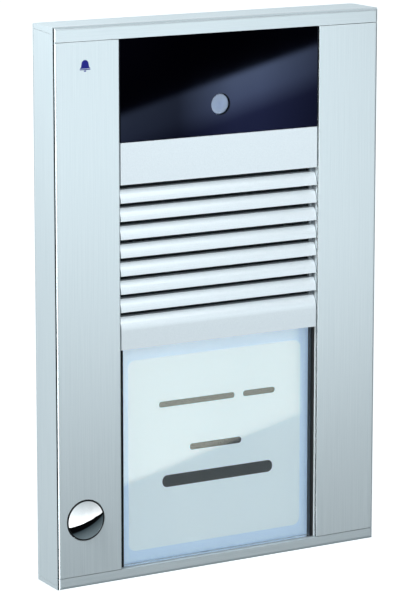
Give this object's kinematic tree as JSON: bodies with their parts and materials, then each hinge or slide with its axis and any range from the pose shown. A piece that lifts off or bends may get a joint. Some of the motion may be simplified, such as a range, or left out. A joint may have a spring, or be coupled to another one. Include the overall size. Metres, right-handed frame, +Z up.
{
  "type": "door intercom panel",
  "caption": "Slim aluminium door station: black camera glass above a louvred speaker grille, a lit name window below, and a round chrome bell push on the left rail.",
  "frame": {"origin": "middle of the wall plate's rear face, which lies on the wall", "axes": "+X right as seen from the front, +Y into the wall, +Z up"},
  "size_m": [0.14, 0.0222, 0.212],
  "materials": {
    "anodised_aluminium": "natural anodised, fine linear brushing",
    "satin_silver": "smooth satin silver",
    "black_glass": "polished, black backed",
    "clear_cover": "clear acrylic, polished faces",
    "lens_clear": "clear, coated",
    "lens_coated": "blue coated lens",
    "chrome": "polished chrome",
    "zinc_steel": "zinc plated sheet",
    "screw_steel": "plain stainless",
    "black_plastic": "fine moulded grain",
    "white_plastic": "satin white",
    "rubber": "matt black rubber",
    "acoustic_cloth": "dark grey fine weave",
    "circuit_board": "green solder mask",
    "terminal_grey": "moulded grey",
    "component_black": "moulded epoxy",
    "component_metal": "bare can",
    "led": "diffused lens",
    "label_card": "matt card",
    "cone_paper": "pressed paper",
    "speaker_metal": "black painted steel"
  },
  "bodies": {
    "wall_base": {"wall_plate": "zinc_steel", "cable_grommet": "rubber"},
    "housing": {"left_rail": "anodised_aluminium", "right_rail": "anodised_aluminium", "top_cap": "anodised_aluminium", "bottom_cap": "anodised_aluminium", "louvre_grille": "satin_silver", "camera_glass": "black_glass", "lens_window": "lens_clear", "speaker_clamp_left": "zinc_steel", "speaker_clamp_right": "zinc_steel", "cap_screw_left": "screw_steel", "cap_screw_right": "screw_steel", "lock_screw": "screw_steel", "speaker_screw_left": "screw_steel", "speaker_screw_right": "screw_steel", "board_screw_lower_left": "screw_steel", "board_screw_upper_left": "screw_steel", "board_screw_lower_right": "screw_steel", "board_screw_upper_right": "screw_steel", "button_spring": "screw_steel", "camera_carrier": "black_plastic", "camera_bracket": "black_plastic", "window_liner_left": "black_plastic", "window_liner_right": "black_plastic", "button_guide": "black_plastic", "switch_body": "black_plastic", "light_guide": "white_plastic", "reflector_plate": "white_plastic", "speaker_gasket": "rubber", "speaker_surround": "rubber", "microphone_boot": "rubber", "button_seal": "rubber", "acoustic_cloth": "acoustic_cloth", "main_board": "circuit_board", "terminal_block": "terminal_grey", "processor_chip": "component_black", "audio_chip": "component_black", "capacitor_upper": "component_metal", "capacitor_lower": "component_metal", "microphone": "component_metal", "backlight_led_1": "led", "backlight_led_2": "led", "backlight_led_3": "led", "backlight_led_4": "led", "name_label": "label_card", "speaker_cone": "cone_paper", "speaker_basket": "speaker_metal", "speaker_magnet": "speaker_metal"},
    "bell": {"bell_button": "chrome"},
    "plunger": {"switch_plunger": "white_plastic"},
    "window": {"name_window": "clear_cover"},
    "camera_gimbal": {"camera_yoke": "black_plastic"},
    "camera_unit": {"camera_body": "black_plastic", "lens_barrel": "black_plastic", "lens_element": "lens_coated", "sensor_board": "circuit_board", "camera_plug": "white_plastic"}
  },
  "joints": [
    {"name": "housing_swing", "type": "hinge", "parent": "wall_base", "child": "housing", "pos_m": [0, -0.0031, 0.104], "axis": [-1, 0, 0], "range_deg": [0, 20]},
    {"name": "bell_press", "type": "slide", "parent": "housing", "child": "bell", "axis": [0, 1, 0], "range_m": [0, 0.001], "stiffness_N_per_m": 400, "springref_m": -0.002, "deforming": ["button_spring"]},
    {"name": "plunger_press", "type": "slide", "parent": "housing", "child": "plunger", "axis": [0, 1, 0], "range_m": [0, 0.001]},
    {"name": "window_tilt", "type": "hinge", "parent": "housing", "child": "window", "pos_m": [0, -0.0183, -0.0171], "axis": [-1, 0, 0], "range_deg": [0, 25]},
    {"name": "camera_pan", "type": "hinge", "parent": "housing", "child": "camera_gimbal", "pos_m": [0, -0.011, 0.0733], "axis": [0, 0, 1], "range_deg": [-8, 8]},
    {"name": "camera_tilt", "type": "hinge", "parent": "camera_gimbal", "child": "camera_unit", "pos_m": [0, -0.011, 0.0733], "axis": [1, 0, 0], "range_deg": [-8, 8]}
  ],
  "couplings": [
    {"joint": "plunger_press", "follows": "bell_press", "ratio": 1}
  ]
}
